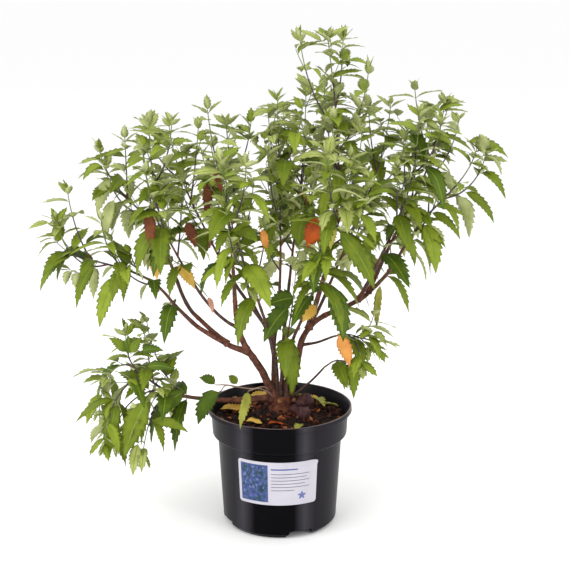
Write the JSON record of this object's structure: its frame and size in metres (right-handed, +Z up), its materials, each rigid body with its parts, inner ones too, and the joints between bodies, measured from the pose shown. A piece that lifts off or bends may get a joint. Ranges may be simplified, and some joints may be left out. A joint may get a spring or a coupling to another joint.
{
  "type": "potted caryopteris shrub",
  "caption": "Young flowering shrub with arching woody boughs and toothed leaves in opposite pairs, growing in a round black nursery pot with a plain label.",
  "frame": {"origin": "centre of the flat underside of the pot", "axes": "+Z up through the pot, -Y to the front where the label is, +X to the right of the front view"},
  "size_m": [0.5874, 0.4059, 0.6566],
  "materials": {
    "pot_plastic": "semi-gloss black moulded polypropylene",
    "label_paper": "smooth printed sticker with no lettering",
    "compost": "coarse moist bark compost",
    "bark": "reddish brown bark, fine lengthwise fissures",
    "foliage": "matt green leaves, paler beneath"
  },
  "bodies": {
    "root": {"pot": "pot_plastic", "label": "label_paper", "compost": "compost", "woody_crown": "bark", "bough_left_up": "bark", "bough_left_low": "bark", "bough_left_mid": "bark", "bough_left_front": "bark", "bough_centre": "bark", "bough_centre_left": "bark", "bough_right_low": "bark", "bough_right_up": "bark", "bough_right_mid": "bark", "bough_right_front": "bark", "bough_rim_right": "bark", "bough_rim_twig": "bark", "bough_rim_left": "bark", "bough_front_left": "bark", "bough_front_right": "bark", "bough_back_left": "bark", "bough_back_centre": "bark", "bough_back_right": "bark", "bough_front_low": "bark", "shoots_left_up": "foliage", "shoots_left_low": "foliage", "shoots_left_mid": "foliage", "shoots_left_front": "foliage", "shoots_centre": "foliage", "shoots_centre_left": "foliage", "shoots_right_low": "foliage", "shoots_right_up": "foliage", "shoots_right_mid": "foliage", "shoots_right_front": "foliage", "shoots_rim_right": "foliage", "shoots_rim_twig": "foliage", "shoots_rim_left": "foliage", "shoots_front_left": "foliage", "shoots_front_right": "foliage", "shoots_back_left": "foliage", "shoots_back_centre": "foliage", "shoots_back_right": "foliage", "shoots_front_low": "foliage"}
  },
  "joints": []
}
